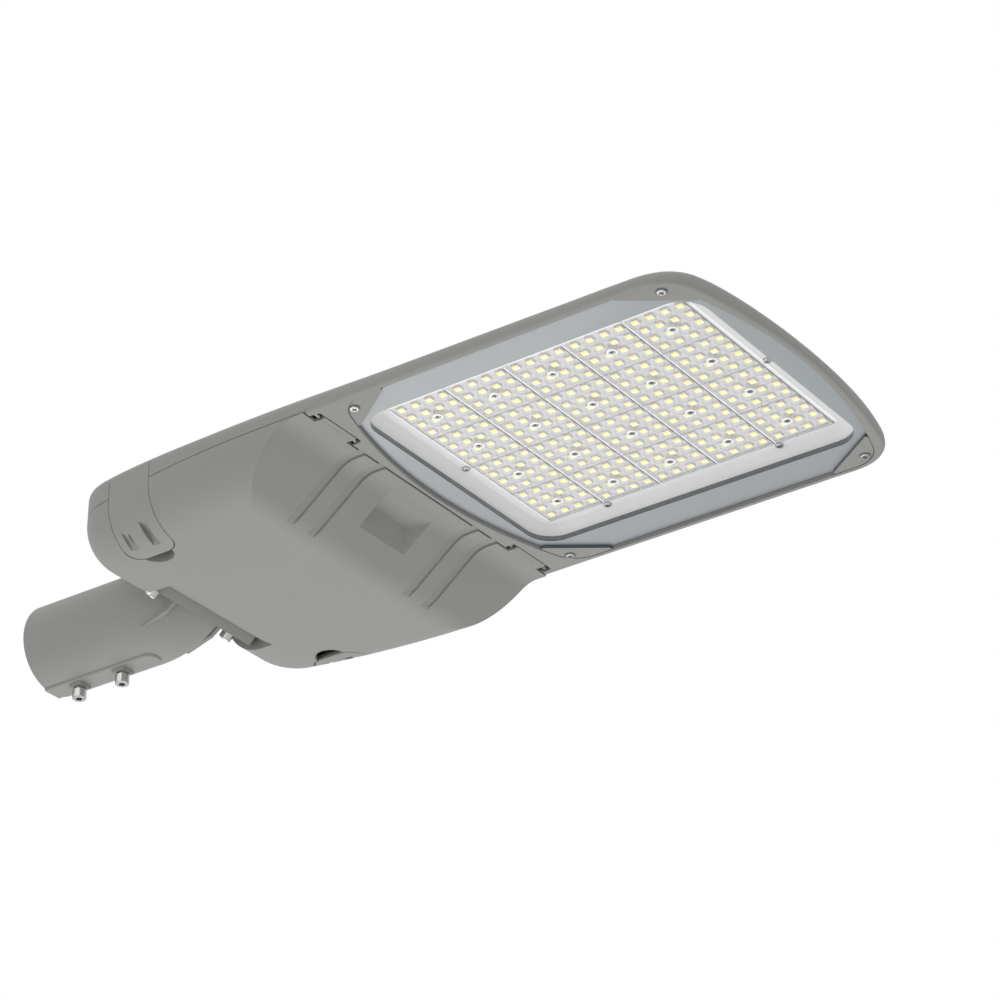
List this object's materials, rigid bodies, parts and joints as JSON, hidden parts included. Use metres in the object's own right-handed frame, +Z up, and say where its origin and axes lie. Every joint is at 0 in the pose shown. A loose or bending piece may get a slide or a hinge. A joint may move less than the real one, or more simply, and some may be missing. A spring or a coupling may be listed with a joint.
{
  "type": "led street light head",
  "caption": "Grey die-cast LED street light head with a 20-module lens field, hinged gear cover, two latches and a 60 mm spigot adapter.",
  "frame": {"origin": "centre of the socket mouth of the spigot adapter", "axes": "+X along the socket towards the front of the head, +Y to the left side, +Z up, light shines towards -Z"},
  "size_m": [0.697, 0.3, 0.1217],
  "materials": {
    "grey_paint": "satin",
    "bright_steel": "satin",
    "black_rubber": "matte",
    "glass": "gloss",
    "white_plastic": "satin",
    "clear_lens": "gloss",
    "board_white": "matte",
    "galvanised_steel": "satin",
    "driver_case": "satin",
    "black_plastic": "matte"
  },
  "bodies": {
    "head": {"cable_clamp": "black_plastic", "clamp_bolts": "bright_steel", "clip_front_left": "grey_paint", "clip_front_right": "grey_paint", "clip_rear_left": "grey_paint", "clip_rear_right": "grey_paint", "clip_screws": "bright_steel", "compartment_gasket": "black_rubber", "driver": "driver_case", "driver_screws": "bright_steel", "flange_bolts": "bright_steel", "flange_seal": "black_rubber", "flange_washers": "bright_steel", "gear_tray": "galvanised_steel", "gear_tray_screws": "bright_steel", "glass_gasket": "black_rubber", "glass_pane": "glass", "hinge_pin_left": "bright_steel", "hinge_pin_right": "bright_steel", "housing": "grey_paint", "lead_grommet": "black_rubber", "led_board": "board_white", "lens_module_1_1": "clear_lens", "lens_module_1_2": "clear_lens", "lens_module_1_3": "clear_lens", "lens_module_1_4": "clear_lens", "lens_module_2_1": "clear_lens", "lens_module_2_2": "clear_lens", "lens_module_2_3": "clear_lens", "lens_module_2_4": "clear_lens", "lens_module_3_1": "clear_lens", "lens_module_3_2": "clear_lens", "lens_module_3_3": "clear_lens", "lens_module_3_4": "clear_lens", "lens_module_4_1": "clear_lens", "lens_module_4_2": "clear_lens", "lens_module_4_3": "clear_lens", "lens_module_4_4": "clear_lens", "lens_module_5_1": "clear_lens", "lens_module_5_2": "clear_lens", "lens_module_5_3": "clear_lens", "lens_module_5_4": "clear_lens", "module_screws": "bright_steel", "reflector_tray": "white_plastic", "spigot": "grey_paint", "surge_protector": "black_plastic", "terminal_block": "black_plastic", "tray_screws": "bright_steel"},
    "gear_door": {"gear_cover": "grey_paint", "latch_pin_left": "bright_steel", "latch_pin_right": "bright_steel"},
    "left_latch": {"latch_left": "grey_paint"},
    "right_latch": {"latch_right": "grey_paint"}
  },
  "joints": [
    {"name": "cover_hinge", "type": "hinge", "parent": "head", "child": "gear_door", "pos_m": [0.3725, 0, 0.021], "axis": [0, -1, 0], "range_deg": [0, 85]},
    {"name": "latch_left_pivot", "type": "hinge", "parent": "gear_door", "child": "left_latch", "pos_m": [0.196, 0.12706, -0.0035], "axis": [-1, 0, 0], "range_deg": [0, 18]},
    {"name": "latch_right_pivot", "type": "hinge", "parent": "gear_door", "child": "right_latch", "pos_m": [0.196, -0.12706, -0.0035], "axis": [1, 0, 0], "range_deg": [0, 18]}
  ]
}
